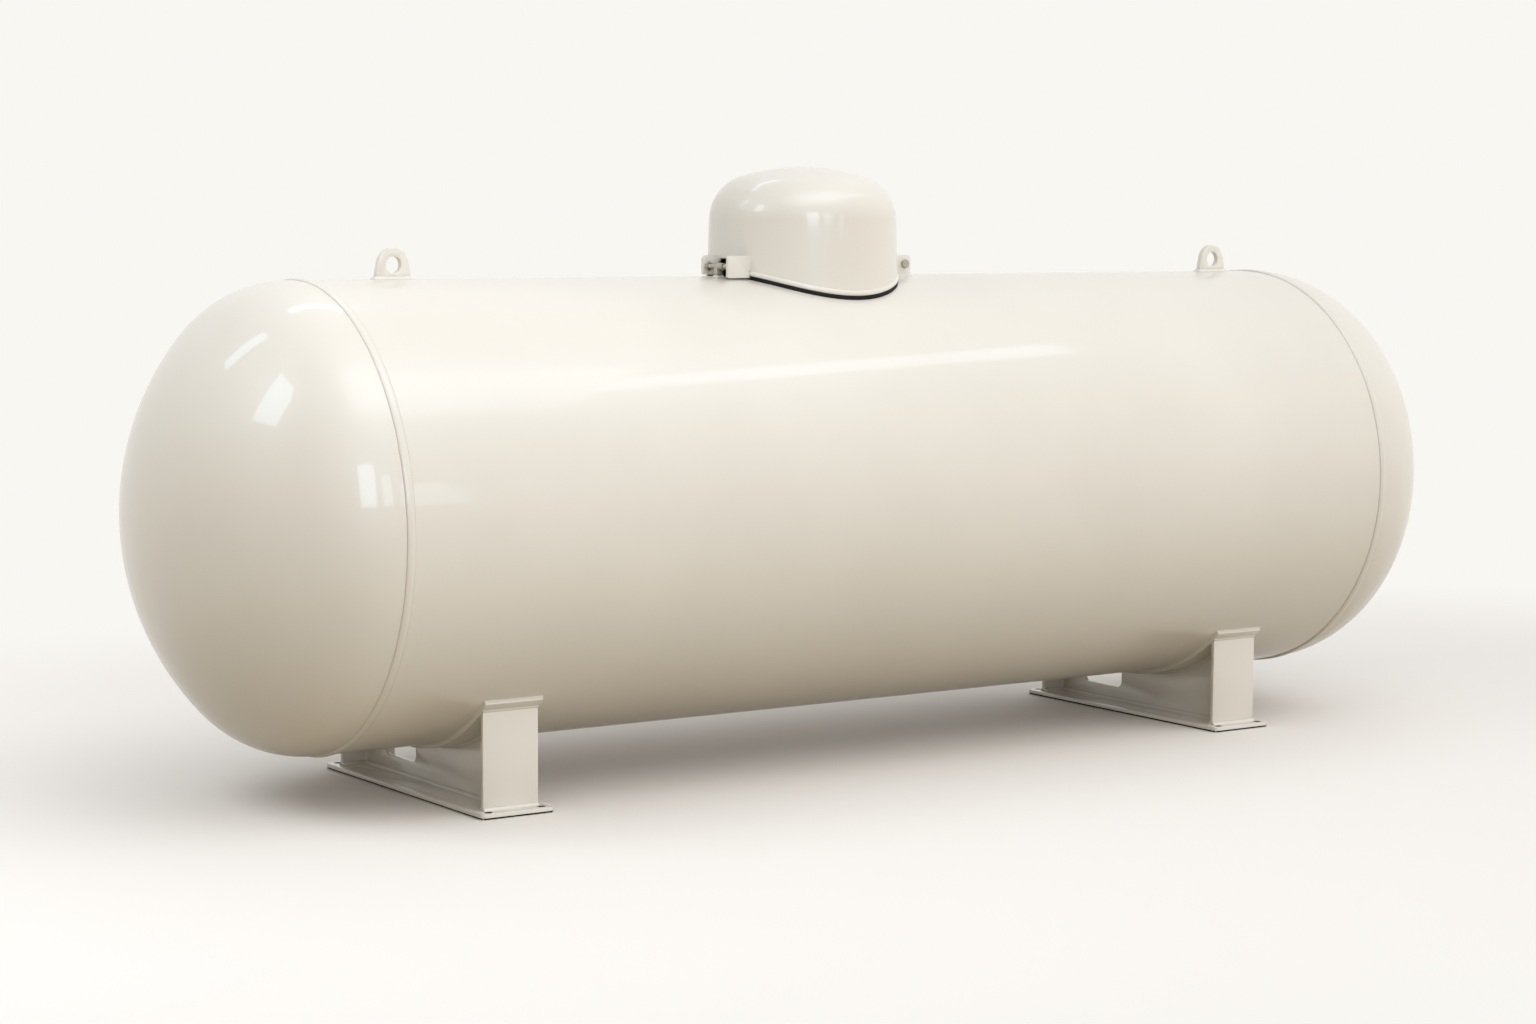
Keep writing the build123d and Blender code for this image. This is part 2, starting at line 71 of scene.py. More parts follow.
# Girth welds
SEAM_WIDTH = 0.020
SEAM_CROWN = 0.0040
SEAM_STEPS = 1440
SEAM_ROWS = 8
SEAM_SINK = 0.0004
SEAM_ARCH_POWER = 0.6
SEAM_RIPPLE = 0.00012
SEAM_STEPS_PER_RIPPLE = 3
SEAM_RIPPLE_LEAN = 1.5
SEAM_WIDTH_DRIFT = 0.08
SEAM_CROWN_DRIFT = 0.12
SEAM_DRIFT_SCALE = 9
SEAM_DRIFT_OFFSET = 5

# Saddles
SADDLE_X = 0.966
PLATE_TOP = 0.012
END_PLATE_FACE_Y = -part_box("saddle_left_end_plate_front")[0][1]
END_PLATE_THICKNESS = 0.010
END_PLATE_WIDTH = 0.126
WEB_THICKNESS = 0.010
WEAR_RADIUS = 0.483
WEAR_HALF_WIDTH = 0.066
WEAR_LIP = 0.024
NOTCH_LOW_Y = 0.080
NOTCH_HIGH_Y = 0.220
EDGE_ROUNDING = 0.0018
UNDERCUT_HEIGHT = 0.004
UNDERCUT_STEP = 0.0004
UNDERCUT_DEPTH = 0.0075
# Painted shadow: a thin black strip round the drawn-in lower edge of each base plate
PAINTED_SHADOW_STRIP_INSET = 0.0045
PAINTED_SHADOW_STRIP_THICKNESS = 0.0015
ANCHOR_RADIUS = 0.009
ANCHOR_X = 0.0605
ANCHOR_Y = 0.328
ANCHOR_ROUNDING_SHARE = 0.15
# Thickness of the dark linings of painted shade in the anchor holes
SHADE_LINING_THICKNESS = 0.0003

# Rounding of the small parts
FITTING_ROUNDING = 0.0012
BOLT_ROUNDING = 0.0008
FRONT_EAR_ROUNDING = 0.0020
FRONT_EAR_CORNER = 0.004
BACK_EAR_ROUNDING = 0.0016
BACK_EAR_CORNER = 0.007
LATCH_EAR_CORNER = 0.009

# Fillet welds
FILLET_LEG = 0.007
TOP_WELD_LEG = 0.006
RISE_WELD_LEG = 0.005
RISE_WELD_STOP = 0.004
CAP_WELD_LEG = 0.0035
WEAR_WELD_LEG = 0.0030
LUG_WELD_OUT = 0.010
LUG_WELD_UP = 0.008
LATCH_WELD_LEG = 0.0045
BARREL_WELD_LEG = 0.0035
FILLET_RIPPLE = 0.0004
FILLET_PITCH = 0.006
FILLET_STEPS_PER_RIPPLE = 4
FILLET_SINK = 0.0006
FILLET_WOBBLE = 0.12
FILLET_WOBBLE_SCALE = 60
FILLET_FAR = 0.62
FILLET_NEAR = 0.28

# Hood
HOOD_X = -0.050
HOOD_RIM_RADIUS = 0.2095
HOOD_SHOULDER_RADIUS = 0.206
HOOD_KNUCKLE_RADIUS = 0.100
HOOD_CROWN_RADIUS = 0.450
HOOD_TOP = SHELL_TOP + 0.237
HOOD_WALL = 0.003
HOOD_RIM_GAP = 0.008
HOOD_LIP_HEIGHT = 0.010
HOOD_LIP_PROUD = 0.003
HOOD_STEPS = 240
SEAL_THICKNESS = 0.007
SEAL_INSET = 0.001
SEAL_LIFT = 0.0003
WINDOW_LOW_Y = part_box("hinge_ear_front")[1][1]
WINDOW_HIGH_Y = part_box("hinge_ear_back")[0][1]
WINDOW_TOP = SHELL_TOP + 0.038
WINDOW_CORNER = 0.005
BARREL_FOOT_LENGTH = 0.013

# Camera, from the photograph
PHOTO_WIDTH = 1536
FOCAL_PIXELS = 3148.5
SENSOR_WIDTH = 36.0
CAMERA_PLACE = (-4.031, -5.695, 1.212)
CAMERA_YAW = math.radians(34.358)
CAMERA_PITCH = math.radians(5.602)
CAMERA_ROLL = math.radians(0.333)

# Paint, in linear light
PAINT_DARK = (0.640, 0.600, 0.535)
PAINT_LIGHT = (0.665, 0.625, 0.560)

# Studio
BACKDROP_TONE = (0.947, 0.928, 0.890)
FLOOR_TONE = (0.792, 0.756, 0.717)
FLOOR_BOUNCE = (0.33, 0.255, 0.135)
FLOOR_REACH = 60.0
FADE_START = 0.62
FADE_REACH_X = 4.2
FADE_REACH_Y = 2.8
WORLD_COLOUR = (0.978, 0.992, 1.005)
WORLD_RIGHT_BACK_UP = (1.40, 0.42, 0.36)
WORLD_LEFT_FRONT_DOWN = (0.04, 1.89, 0.0)
LAMP_COLOUR = (0.92, 0.965, 1.0)
GLEAM_COLOUR = (0.62, 0.82, 1.0)


def new_object(name, mesh):
    """Links a mesh as an object."""
    piece = bpy.data.objects.new(name, mesh)
    bpy.context.scene.collection.objects.link(piece)
    return piece


def mesh_from(name, points, faces, smooth=True):
    """A mesh with outward normals from points and faces."""
    mesh = bpy.data.meshes.new(name)
    mesh.from_pydata([tuple(p) for p in points], [], faces)
    form = bmesh.new()
    form.from_mesh(mesh)
    bmesh.ops.recalc_face_normals(form, faces=form.faces)
    form.to_mesh(mesh)
    form.free()
    for polygon in mesh.polygons:
        polygon.use_smooth = smooth
    return mesh


def smooth_by_angle(mesh, degrees):
    """Smooth shading, with edges sharper than an angle kept crisp."""
    for polygon in mesh.polygons:
        polygon.use_smooth = True
    form = bmesh.new()
    form.from_mesh(mesh)
    limit = math.radians(degrees)
    for edge in form.edges:
        if len(edge.link_faces) == 2:
            edge.smooth = edge.calc_face_angle(0.0) < limit
    form.to_mesh(mesh)
    form.free()


def grid_faces(rows, columns, close_rows, close_columns):
    """Faces of a grid of points that are stored row by row."""
    faces = []
    row_count = rows if close_rows else rows - 1
    column_count = columns if close_columns else columns - 1
    for row in range(row_count):
        for column in range(column_count):
            next_row = (row + 1) % rows
            next_column = (column + 1) % columns
            faces.append((
                row * columns + column,
                row * columns + next_column,
                next_row * columns + next_column,
                next_row * columns + column,
            ))
    return faces


def lathe_x(name, outline):
    """A closed ring of (x, radius) points turned about the tank's axis."""
    points = []
    for x, radius in outline:
        for step in range(ROUND_STEPS):
            angle = 2 * math.pi * step / ROUND_STEPS
            points.append((x, radius * math.sin(angle), AXIS_Z + radius * math.cos(angle)))
    faces = grid_faces(len(outline), ROUND_STEPS, True, True)
    mesh = mesh_from(name, points, faces)
    smooth_by_angle(mesh, SKIN_CREASE)
    return mesh


# Materials

def node_material(name):
    """An empty principled material, its nodes and its shader."""
    material = bpy.data.materials.new(name)
    material.use_nodes = True
    nodes = material.node_tree.nodes
    shader = nodes["Principled BSDF"]
    return material, nodes, material.node_tree.links, shader


def noise_node(nodes, links, scale, detail):
    """Noise in object coordinates, which are metres here."""
    place = nodes.new("ShaderNodeTexCoord")
    texture = nodes.new("ShaderNodeTexNoise")
    texture.inputs["Scale"].default_value = scale
    texture.inputs["Detail"].default_value = detail
    texture.inputs["Roughness"].default_value = 0.5
    links.new(place.outputs["Object"], texture.inputs["Vector"])
    return texture


def ramp_node(nodes, links, source, low, high, dark, light):
    """A colour ramp between two colours over part of a texture's range."""
    ramp = nodes.new("ShaderNodeValToRGB")
    ramp.color_ramp.elements[0].position = low
    ramp.color_ramp.elements[0].color = (*dark, 1)
    ramp.color_ramp.elements[1].position = high
    ramp.color_ramp.elements[1].color = (*light, 1)
    links.new(source, ramp.inputs["Fac"])
    return ramp


def bump_node(nodes, links, height, strength, distance, previous=None):
    """A bump of a real height, in metres, on top of an earlier one."""
    bump = nodes.new("ShaderNodeBump")
    bump.inputs["Strength"].default_value = strength
    bump.inputs["Distance"].default_value = distance
    links.new(height, bump.inputs["Height"])
    if previous:
        links.new(previous.outputs["Normal"], bump.inputs["Normal"])
    return bump


def paint_material():
    """Glossy cream paint with a faint orange peel and slight cloudiness."""
    material, nodes, links, shader = node_material("cream_paint")
    cloud = noise_node(nodes, links, 2.2, 3)
    tint = ramp_node(nodes, links, cloud.outputs["Fac"], 0.35, 0.65, PAINT_DARK, PAINT_LIGHT)
    links.new(tint.outputs["Color"], shader.inputs["Base Color"])
    gloss = noise_node(nodes, links, 9, 4)
    spread = nodes.new("ShaderNodeMapRange")
    spread.inputs["To Min"].default_value = 0.32
    spread.inputs["To Max"].default_value = 0.42
    links.new(gloss.outputs["Fac"], spread.inputs["Value"])
    links.new(spread.outputs["Result"], shader.inputs["Roughness"])
    wave = noise_node(nodes, links, 14, 2)
    peel = noise_node(nodes, links, 210, 2)
    first = bump_node(nodes, links, wave.outputs["Fac"], 0.35, 0.0012)
    second = bump_node(nodes, links, peel.outputs["Fac"], 0.40, 0.0002, first)
    links.new(second.outputs["Normal"], shader.inputs["Normal"])
    shader.inputs["Coat Weight"].default_value = 0.7
    shader.inputs["Coat Roughness"].default_value = 0.055
    return material


def metal_material(name, dark, light, roughness, metallic=1.0, grain=420):
    """Plain or plated metal with a fine grain and slight patches."""
    material, nodes, links, shader = node_material(name)
    patches = noise_node(nodes, links, grain / 6, 4)
    tint = ramp_node(nodes, links, patches.outputs["Fac"], 0.3, 0.7, dark, light)
    links.new(tint.outputs["Color"], shader.inputs["Base Color"])
    fine = noise_node(nodes, links, grain, 3)
    spread = nodes.new("ShaderNodeMapRange")
    spread.inputs["To Min"].default_value = roughness - 0.08
    spread.inputs["To Max"].default_value = roughness + 0.08
    links.new(fine.outputs["Fac"], spread.inputs["Value"])
    links.new(spread.outputs["Result"], shader.inputs["Roughness"])
    bump = bump_node(nodes, links, fine.outputs["Fac"], 0.2, 0.0002)
    links.new(bump.outputs["Normal"], shader.inputs["Normal"])
    shader.inputs["Metallic"].default_value = metallic
    return material


def dull_material(name, dark, light, roughness, grain=260):
    """Rubber or moulded plastic."""
    material = metal_material(name, dark, light, roughness, 0.0, grain)
    material.node_tree.nodes["Principled BSDF"].inputs["Specular IOR Level"].default_value = 0.2
    return material


paint = paint_material()
zinc = metal_material("zinc_steel", (0.34, 0.32, 0.27), (0.52, 0.49, 0.42), 0.30)
# The dark steel also dresses the linings of painted shade in the anchor holes
dark_steel = metal_material("dark_steel", (0.045, 0.043, 0.04), (0.10, 0.095, 0.09), 0.42)
brass = metal_material("brass", (0.55, 0.39, 0.15), (0.70, 0.52, 0.24), 0.30)
gauge_metal = metal_material("gauge_metal", (0.50, 0.50, 0.48), (0.62, 0.62, 0.60), 0.34)
handwheel_iron = metal_material("cast_handwheel", (0.14, 0.145, 0.15), (0.24, 0.245, 0.25), 0.50)
# The black rubber also dresses the painted shadow strips under the base plates, and the hood's seal, whose
# black is partly painted shade of its gap
rubber = dull_material("black_rubber", (0.005, 0.004, 0.003), (0.012, 0.011, 0.010), 0.70)
cap_plastic = dull_material("cap_plastic", (0.030, 0.030, 0.032), (0.045, 0.045, 0.047), 0.48)

SLOT_MATERIALS = {
    "cream_paint": paint,
    "zinc_steel": zinc,
    "dark_steel": dark_steel,
    "brass": brass,
    "gauge_metal": gauge_metal,
    "cast_handwheel": handwheel_iron,
    "black_rubber": rubber,
    "cap_plastic": cap_plastic,
}
NODE_SLOTS = {row["node"]: row["material_slot"] for row in frame["record"]["subparts"]}
NODE_BODIES = {}
for body_name, body_nodes in frame["record"]["behaviour"]["bodies"].items():
    for node in body_nodes:
        NODE_BODIES[node] = body_name


def dress(piece, slot, body, *replaced):
    """Gives a piece its finish and its body, and hides the nodes that it stands for."""
    piece.data.materials.clear()
    piece.data.materials.append(SLOT_MATERIALS[slot])
    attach(piece, body)
    if replaced:
        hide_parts(*replaced)
    return piece


# Vessel

def tube_outline():
    """The section of the shell's wall, from seam to seam."""
    inner = TANK_RADIUS - SHELL_WALL
    return [(-SEAM_X, TANK_RADIUS), (0, TANK_RADIUS), (SEAM_X, TANK_RADIUS),
            (SEAM_X, inner), (0, inner), (-SEAM_X, inner)]


def head_outline(side):
    """The section of a head, from the seam over the outside to the pole and back along the inside."""
    bend = SEAM_X + HEAD_FLANGE
    rise = HEAD_DEPTH - HEAD_FLANGE
    least = 1e-4
    knuckle_centre = TANK_RADIUS - HEAD_KNUCKLE
    crown = (TANK_RADIUS**2 + rise**2 - 2 * TANK_RADIUS * HEAD_KNUCKLE) / (2 * (rise - HEAD_KNUCKLE))
    crown_centre = bend + rise - crown
    lean = math.atan2(knuckle_centre, crown - rise)
    knuckle_steps = 36
    crown_steps = 24

    def skin(inset):
        ring = [(SEAM_X, TANK_RADIUS - inset)]
        for step in range(knuckle_steps):
            angle = lean + (0.5 * math.pi - lean) * (1 - step / knuckle_steps)
            reach = HEAD_KNUCKLE - inset
            ring.append((bend + reach * math.cos(angle), knuckle_centre + reach * math.sin(angle)))
        for step in range(crown_steps + 1):
            angle = lean * (1 - step / crown_steps)
            reach = crown - inset
            ring.append((crown_centre + reach * math.cos(angle), max(least, reach * math.sin(angle))))
        return ring

    return [(side * x, radius) for x, radius in skin(0) + skin(SHELL_WALL)[::-1]]


def girth_weld(name, side):
    """A painted weld bead round a seam, a low arch with fine ripples and a slightly wandering width."""
    points = []
    for row in range(SEAM_ROWS + 1):
        across = -1 + 2 * row / SEAM_ROWS
        for step in range(SEAM_STEPS):
            angle = 2 * math.pi * step / SEAM_STEPS
            ripple = math.sin(angle * SEAM_STEPS / SEAM_STEPS_PER_RIPPLE + SEAM_RIPPLE_LEAN * across)
            drift = noise.noise(Vector((
                math.cos(angle) * SEAM_DRIFT_SCALE,
                math.sin(angle) * SEAM_DRIFT_SCALE,
                side * SEAM_DRIFT_OFFSET,
            )))
            half_width = SEAM_WIDTH / 2 * (1 + SEAM_WIDTH_DRIFT * drift)
            crown = SEAM_CROWN * (1 - across**2) ** SEAM_ARCH_POWER * (1 + SEAM_CROWN_DRIFT * drift)
            radius = TANK_RADIUS - SEAM_SINK + crown + SEAM_RIPPLE * ripple * (1 - across**2)
            points.append((
                side * SEAM_X + across * half_width,
                radius * math.sin(angle),
                AXIS_Z + radius * math.cos(angle),
            ))
    rows = SEAM_ROWS + 1
    faces = grid_faces(rows, SEAM_STEPS, True, True)
    return new_object(name, mesh_from(name, points, faces))


dress(new_object("shell_skin", lathe_x("shell_skin", tube_outline())), "cream_paint", "tank", "shell")
for side_name, side in (("left", -1), ("right", 1)):
    head = new_object(f"head_{side_name}_skin", lathe_x(f"head_{side_name}_skin", head_outline(side)))
    dress(head, "cream_paint", "tank", f"head_{side_name}")
    dress(girth_weld(f"girth_bead_{side_name}", side), "cream_paint", "tank", f"seam_weld_{side_name}")


# Plates with rounded edges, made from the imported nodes

def round_top_corners(form, radius, sides):
    """Rounds the upper corners of an upright plate that looks along Y. sides holds -1, 1 or both, along X."""
    top = max(vert.co.z for vert in form.verts)
    ends = {-1: min(vert.co.x for vert in form.verts), 1: max(vert.co.x for vert in form.verts)}
    corners = []
    for edge in form.edges:
        at_top = all(abs(vert.co.z - top) < TOUCH for vert in edge.verts)
        at_end = any(all(abs(vert.co.x - ends[side]) < TOUCH for vert in edge.verts) for side in sides)
        if at_top and at_end:
            corners.append(edge)
    bmesh.ops.bevel(form, geom=corners, offset=radius, segments=5, profile=0.5, affect="EDGES")


def at_anchor_hole(edge):
    """Whether an edge belongs to the rim of an anchor hole."""
    for vert in edge.verts:
        x = abs(abs(vert.co.x) - SADDLE_X)
        away = math.hypot(x - ANCHOR_X, abs(vert.co.y) - ANCHOR_Y)
        if vert.co.z > PLATE_TOP + TOUCH or away > ANCHOR_RADIUS + TOUCH:
            return False
    return True


def anchor_hole_shade_linings(side_name, middle):
    """Dark linings on the walls of the anchor holes: painted shade, so that the holes read dark."""
    top = PLATE_TOP - 2 * EDGE_ROUNDING * ANCHOR_ROUNDING_SHARE
    bottom = UNDERCUT_HEIGHT
    ring_steps = 32
    outer = ANCHOR_RADIUS + SHADE_LINING_THICKNESS / 2
    inner = ANCHOR_RADIUS - SHADE_LINING_THICKNESS / 2
    for index, (sign_x, sign_y) in enumerate(((-1, -1), (1, -1), (-1, 1), (1, 1))):
        points = []
        for radius, z in ((outer, top), (inner, top), (inner, bottom), (outer, bottom)):
            for step in range(ring_steps):
                angle = 2 * math.pi * step / ring_steps
                x = middle + sign_x * ANCHOR_X + radius * math.cos(angle)
                points.append((x, sign_y * ANCHOR_Y + radius * math.sin(angle), z))
        name = f"anchor_bore_{side_name}_{index + 1}"
        mesh = mesh_from(name, points, grid_faces(4, ring_steps, True, True))
        smooth_by_angle(mesh, SKIN_CREASE)
        dress(new_object(name, mesh), "dark_steel", "tank")


def rounded(node, width, slot=None, corner=0.0, sides=(-1, 1)):
    """A copy of a node with its flat faces joined and its edges slightly rounded."""
    source = frame["nodes"][node]
    mesh = source.data.copy()
    mesh.name = f"{node}_rounded"
    form = bmesh.new()
    form.from_mesh(mesh)
    bmesh.ops.remove_doubles(form, verts=form.verts, dist=1e-6)
    flat = math.radians(FLAT_CREASE)
    bmesh.ops.dissolve_limit(form, angle_limit=flat, verts=form.verts, edges=form.edges)
    if corner:
        round_top_corners(form, corner, sides)
    share = form.edges.layers.float.new("bevel_weight_edge")
    for edge in form.edges:
        if len(edge.link_faces) == 2 and edge.calc_face_angle(0.0) > math.radians(BEVEL_CREASE):
            edge[share] = ANCHOR_ROUNDING_SHARE if at_anchor_hole(edge) else 1.0
    form.to_mesh(mesh)
    form.free()
    piece = new_object(f"{node}_rounded", mesh)
    bevel = piece.modifiers.new("edges", "BEVEL")
    bevel.width = width
    bevel.segments = 2
    bevel.limit_method = "WEIGHT"
    bevel.use_clamp_overlap = True
    bevel.harden_normals = False
    depsgraph = bpy.context.evaluated_depsgraph_get()
    result = bpy.data.meshes.new_from_object(piece.evaluated_get(depsgraph))
    piece.modifiers.clear()
    piece.data = result
    smooth_by_angle(result, PLATE_CREASE)
    return dress(piece, slot or NODE_SLOTS[node], NODE_BODIES[node], node)


def undercut(piece):
    """Draws the lowest edge of a plate in, so that a shadow line shows all round where it stands."""
    form = bmesh.new()
    form.from_mesh(piece.data)
    for level in (UNDERCUT_HEIGHT, UNDERCUT_HEIGHT - UNDERCUT_STEP):
        whole = form.verts[:] + form.edges[:] + form.faces[:]
        bmesh.ops.bisect_plane(form, geom=whole, plane_co=(0, 0, level), plane_no=(0, 0, 1))
    low = [min(vert.co[axis] for vert in form.verts) for axis in range(2)]
    high = [max(vert.co[axis] for vert in form.verts) for axis in range(2)]
    rim = EDGE_ROUNDING * 1.1
    for vert in form.verts:
        if vert.co.z > UNDERCUT_HEIGHT - UNDERCUT_STEP / 2:
            continue
        for axis in range(2):
            if vert.co[axis] < low[axis] + rim:
                vert.co[axis] += UNDERCUT_DEPTH
            elif vert.co[axis] > high[axis] - rim:
                vert.co[axis] -= UNDERCUT_DEPTH
    form.to_mesh(piece.data)
    form.free()
    smooth_by_angle(piece.data, PLATE_CREASE)


def painted_shadow_strip(node):
    """A thin black strip round the drawn-in edge of a base plate: painted shadow along the shadow line where
    the plate stands.
    """
    low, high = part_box(node)
    inner = PAINTED_SHADOW_STRIP_INSET + PAINTED_SHADOW_STRIP_THICKNESS
    top = UNDERCUT_HEIGHT - UNDERCUT_STEP / 2
    points = []
    for inset, z in ((PAINTED_SHADOW_STRIP_INSET, 0.0), (PAINTED_SHADOW_STRIP_INSET, top), (inner, top), (inner, 0.0)):
        west, south = low[0] + inset, low[1] + inset
        east, north = high[0] - inset, high[1] - inset
        points += [(west, south, z), (east, south, z), (east, north, z), (west, north, z)]
    mesh = mesh_from(f"{node}_strip", points, grid_faces(4, 4, True, True), False)
    dress(new_object(f"{node}_strip", mesh), "black_rubber", "tank")


for side_name, side in (("left", -1), ("right", 1)):
    for plate in ("web", "end_plate_front", "end_plate_back", "wear_plate"):
        rounded(f"saddle_{side_name}_{plate}", EDGE_ROUNDING)
    undercut(rounded(f"saddle_{side_name}_base_plate", EDGE_ROUNDING))
    # Painted shadow: a black strip under the plate's drawn-in edge
    painted_shadow_strip(f"saddle_{side_name}_base_plate")
    # Painted shade: dark linings in the anchor holes
    anchor_hole_shade_linings(side_name, side * SADDLE_X)
    rounded(f"lifting_lug_{side_name}", EDGE_ROUNDING)
rounded("hinge_ear_front", FRONT_EAR_ROUNDING, corner=FRONT_EAR_CORNER, sides=(-1,))
rounded("hinge_ear_back", BACK_EAR_ROUNDING, corner=BACK_EAR_CORNER, sides=(-1,))
rounded("latch_ear", FITTING_ROUNDING, corner=LATCH_EAR_CORNER)
rounded("hood_latch_tab", FITTING_ROUNDING)
rounded("hood_hinge_knuckle", FITTING_ROUNDING, slot="zinc_steel")
for node in ("hinge_bolt", "hinge_nut", "latch_bolt", "latch_nut"):
    rounded(node, BOLT_ROUNDING)


# Hood

def hood_profile(inset):
    """(radius, z) points from the pole down to the shoulder."""
    steps = 10
    crown_centre = HOOD_TOP - HOOD_CROWN_RADIUS
    knuckle_x = HOOD_SHOULDER_RADIUS - HOOD_KNUCKLE_RADIUS
    spread = HOOD_CROWN_RADIUS - HOOD_KNUCKLE_RADIUS
    knuckle_z = crown_centre + math.sqrt(spread**2 - knuckle_x**2)
    lean = math.asin(knuckle_x / spread)
    ring = []
    for step in range(steps):
        angle = lean * step / steps
        radius = (HOOD_CROWN_RADIUS - inset) * math.sin(angle)
        ring.append((max(1e-4, radius), crown_centre + (HOOD_CROWN_RADIUS - inset) * math.cos(angle)))
    for step in range(2 * steps + 1):
        angle = lean + (0.5 * math.pi - lean) * step / (2 * steps)
        reach = HOOD_KNUCKLE_RADIUS - inset
        ring.append((knuckle_x + reach * math.sin(angle), knuckle_z + reach * math.cos(angle)))
    return ring


def rim_height(radius, angle, surface):
    """The height of a surface about the tank's axis, at one point of a ring round the hood's axis."""
    y = radius * math.sin(angle)
    return AXIS_Z + math.sqrt(surface**2 - y**2)


def ring_about_hood(radius, height_of):
    """Points round the hood's axis, each at its own height."""
    points = []
    for step in range(HOOD_STEPS):
        angle = 2 * math.pi * step / HOOD_STEPS
        points.append((HOOD_X + radius * math.cos(angle), radius * math.sin(angle), height_of(angle)))
    return points


def make_hood():
    """The hood's skin: domed top, round wall and a rolled lip that follows the shell."""
    rim = TANK_RADIUS + HOOD_RIM_GAP
    rows = []
    for radius, z in hood_profile(0):
        rows.append(ring_about_hood(radius, lambda angle, z=z: z))
    shoulder_z = hood_profile(0)[-1][1]
    wall_steps = 6
    for step in range(1, wall_steps + 1):
        share = step / wall_steps
        radius = HOOD_SHOULDER_RADIUS + (HOOD_RIM_RADIUS - HOOD_SHOULDER_RADIUS) * share

        def height(angle, share=share, radius=radius):
            low = rim_height(radius, angle, rim + HOOD_LIP_HEIGHT)
            return shoulder_z + (low - shoulder_z) * share

        rows.append(ring_about_hood(radius, height))
    lip_steps = 8
    middle = rim + HOOD_LIP_HEIGHT / 2
    for step in range(lip_steps + 1):
        angle_round = math.pi * step / lip_steps
        radius = HOOD_RIM_RADIUS + HOOD_LIP_PROUD * math.sin(angle_round)
        surface = middle + HOOD_LIP_HEIGHT / 2 * math.cos(angle_round)
        rows.append(ring_about_hood(radius, lambda angle, r=radius, s=surface: rim_height(r, angle, s)))
    inner_radius = HOOD_RIM_RADIUS - HOOD_WALL
    rows.append(ring_about_hood(inner_radius, lambda angle: rim_height(inner_radius, angle, rim)))
    for radius, z in hood_profile(HOOD_WALL)[::-1]:
        rows.append(ring_about_hood(radius, lambda angle, z=z: z))
    points = [point for row in rows for point in row]
    mesh = mesh_from("hood_skin", points, grid_faces(len(rows), HOOD_STEPS, True, True))
    smooth_by_angle(mesh, HOOD_CREASE)
    return new_object("hood_skin", mesh)


def make_seal_and_gap_shade():
    """The black rubber strip in the gap between the hood's lip and the shell. Its black also stands in for
    the shade in that gap: painted shade.
    """
    outer = HOOD_RIM_RADIUS + HOOD_LIP_PROUD - SEAL_INSET
    inner = outer - SEAL_THICKNESS
    low = TANK_RADIUS + SEAL_LIFT
    high = TANK_RADIUS + HOOD_RIM_GAP
    bulge = 0.0008
    corners = [
        (outer - bulge, high),
        (outer, (low + high) / 2),
        (outer - bulge, low),
        (inner, low),
        (inner, high),
    ]
    rows = [ring_about_hood(r, lambda angle, r=r, s=s: rim_height(r, angle, s)) for r, s in corners]
    points = [point for row in rows for point in row]
    mesh = mesh_from("rim_seal_and_gap_shade_skin", points, grid_faces(len(rows), HOOD_STEPS, True, True))
    smooth_by_angle(mesh, SKIN_CREASE)
    return new_object("rim_seal_and_gap_shade_skin", mesh)


def window_block():
    """A block as large as the opening between the hinge's ears, with rounded upper corners."""
    section = [(WINDOW_LOW_Y, AXIS_Z), (WINDOW_HIGH_Y, AXIS_Z)]
    corner_steps = 6
    for middle, start in ((WINDOW_HIGH_Y - WINDOW_CORNER, 0.0), (WINDOW_LOW_Y + WINDOW_CORNER, 0.5)):
        for step in range(corner_steps + 1):
            angle = math.pi * (start + 0.5 * step / corner_steps)
            section.append((middle + WINDOW_CORNER * math.cos(angle),
                            WINDOW_TOP - WINDOW_CORNER + WINDOW_CORNER * math.sin(angle)))
    count = len(section)
    far = HOOD_X - 2 * HOOD_RIM_RADIUS
    near = HOOD_X - HOOD_RIM_RADIUS / 2
    points = [(x, y, z) for x in (far, near) for y, z in section]
    faces = [tuple(range(count)), tuple(range(2 * count - 1, count - 1, -1))]
    for step in range(count):
        after = (step + 1) % count
        faces.append((step, after, count + after, count + step))
    return new_object("hinge_window_block", mesh_from("hinge_window_block", points, faces, False))


def open_window(piece, degrees):
    """Cuts the opening between the hinge's ears out of a skin of the hood."""
    block = window_block()
    cut = piece.modifiers.new("window", "BOOLEAN")
    cut.operation = "DIFFERENCE"
    cut.solver = "EXACT"
    cut.object = block
    depsgraph = bpy.context.evaluated_depsgraph_get()
    result = bpy.data.meshes.new_from_object(piece.evaluated_get(depsgraph))
    piece.modifiers.clear()
    piece.data = result
    bpy.data.objects.remove(block)
    smooth_by_angle(result, degrees)
    return piece


dress(open_window(make_hood(), HOOD_CREASE), "cream_paint", "hood", "hood_shell")
# The seal's black is partly painted shade of the gap under the hood's lip
dress(open_window(make_seal_and_gap_shade(), SKIN_CREASE), "black_rubber", "hood", "hood_rim_seal")


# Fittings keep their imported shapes
for node, slot_name in NODE_SLOTS.items():
    part = frame["nodes"][node]
    if part.hide_render:
        continue
    part.data.materials.clear()
    part.data.materials.append(SLOT_MATERIALS[slot_name])
    smooth_by_angle(part.data, PACKED_CREASE)


# Fillet welds

